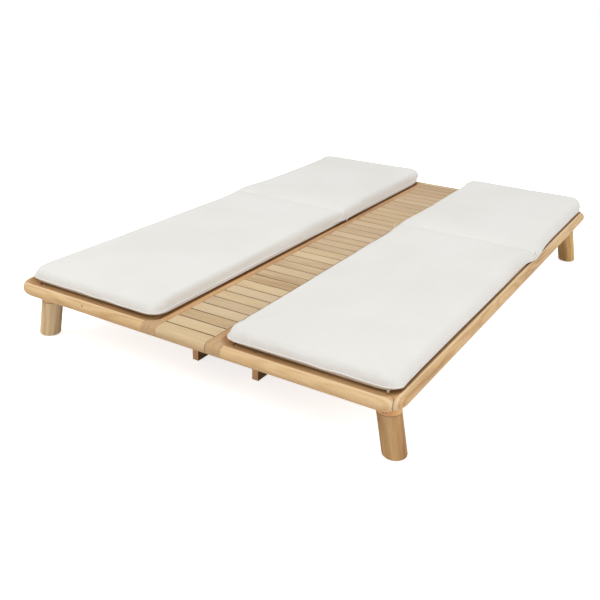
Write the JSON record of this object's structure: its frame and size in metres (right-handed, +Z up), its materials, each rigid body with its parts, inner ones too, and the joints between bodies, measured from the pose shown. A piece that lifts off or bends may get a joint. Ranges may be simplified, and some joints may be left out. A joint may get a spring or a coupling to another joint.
{
  "type": "double chaise lounger",
  "caption": "Low double lounger: twin wooden recliner frames with long cushions and tilting backrests, joined by a slatted centre deck.",
  "frame": {"origin": "middle of the footprint, on the floor", "axes": "+X across the width towards the right-hand seat, +Y from the foot end to the head end, +Z up"},
  "size_m": [1.39, 2.05, 0.2583],
  "materials": {
    "rail_wood": "oiled",
    "deck_wood": "oiled",
    "leg_wood": "oiled",
    "hidden_wood": "oiled",
    "cushion_fabric": "woven",
    "steel": "satin",
    "glide_plastic": "matte"
  },
  "bodies": {
    "frame": {"corner_plates": "hidden_wood", "deck_back_rail": "deck_wood", "deck_front_rail": "deck_wood", "deck_ledgers": "hidden_wood", "deck_slats": "deck_wood", "foot_glides": "glide_plastic", "hinge_bolts": "steel", "left_back_inner_leg": "leg_wood", "left_back_leg": "leg_wood", "left_back_leg_collar": "leg_wood", "left_back_rail": "rail_wood", "left_front_inner_leg": "leg_wood", "left_front_leg": "leg_wood", "left_front_leg_collar": "leg_wood", "left_front_rail": "rail_wood", "left_hinge_bearer": "hidden_wood", "left_inner_ledger": "hidden_wood", "left_inner_rail": "rail_wood", "left_outer_ledger": "hidden_wood", "left_outer_rail": "rail_wood", "left_prop_racks": "hidden_wood", "left_rear_bearer": "hidden_wood", "left_seat_cushion": "cushion_fabric", "left_seat_slats": "hidden_wood", "leg_bolts": "steel", "right_back_inner_leg": "leg_wood", "right_back_leg": "leg_wood", "right_back_leg_collar": "leg_wood", "right_back_rail": "rail_wood", "right_front_inner_leg": "leg_wood", "right_front_leg": "leg_wood", "right_front_leg_collar": "leg_wood", "right_front_rail": "rail_wood", "right_hinge_bearer": "hidden_wood", "right_inner_ledger": "hidden_wood", "right_inner_rail": "rail_wood", "right_outer_ledger": "hidden_wood", "right_outer_rail": "rail_wood", "right_prop_racks": "hidden_wood", "right_rear_bearer": "hidden_wood", "right_seat_cushion": "cushion_fabric", "right_seat_slats": "hidden_wood"},
    "right_backrest": {"right_backrest_outer_stile": "hidden_wood", "right_backrest_inner_stile": "hidden_wood", "right_backrest_top_rail": "hidden_wood", "right_backrest_slats": "hidden_wood", "right_prop_pins": "steel", "right_back_cushion": "cushion_fabric", "right_cushion_fold": "cushion_fabric"},
    "left_backrest": {"left_backrest_outer_stile": "hidden_wood", "left_backrest_inner_stile": "hidden_wood", "left_backrest_top_rail": "hidden_wood", "left_backrest_slats": "hidden_wood", "left_prop_pins": "steel", "left_back_cushion": "cushion_fabric", "left_cushion_fold": "cushion_fabric"},
    "right_prop": {"right_prop_arms": "hidden_wood", "right_prop_bar": "steel"},
    "left_prop": {"left_prop_arms": "hidden_wood", "left_prop_bar": "steel"}
  },
  "joints": [
    {"name": "right_backrest_hinge", "type": "hinge", "parent": "frame", "child": "right_backrest", "pos_m": [0.393, 0.2, 0.172], "axis": [1, 0, 0], "range_deg": [0, 60], "deforming": ["right_cushion_fold"]},
    {"name": "right_prop_hinge", "type": "hinge", "parent": "right_backrest", "child": "right_prop", "pos_m": [0.393, 0.5, 0.172], "axis": [1, 0, 0], "range_deg": [-121.3, 0]},
    {"name": "left_backrest_hinge", "type": "hinge", "parent": "frame", "child": "left_backrest", "pos_m": [-0.393, 0.2, 0.172], "axis": [1, 0, 0], "range_deg": [0, 60], "deforming": ["left_cushion_fold"]},
    {"name": "left_prop_hinge", "type": "hinge", "parent": "left_backrest", "child": "left_prop", "pos_m": [-0.393, 0.5, 0.172], "axis": [1, 0, 0], "range_deg": [-121.3, 0]}
  ],
  "couplings": [
    {"joint": "right_prop_hinge", "follows": "right_backrest_hinge", "ratio": -2.0193},
    {"joint": "left_prop_hinge", "follows": "left_backrest_hinge", "ratio": -2.0193}
  ]
}
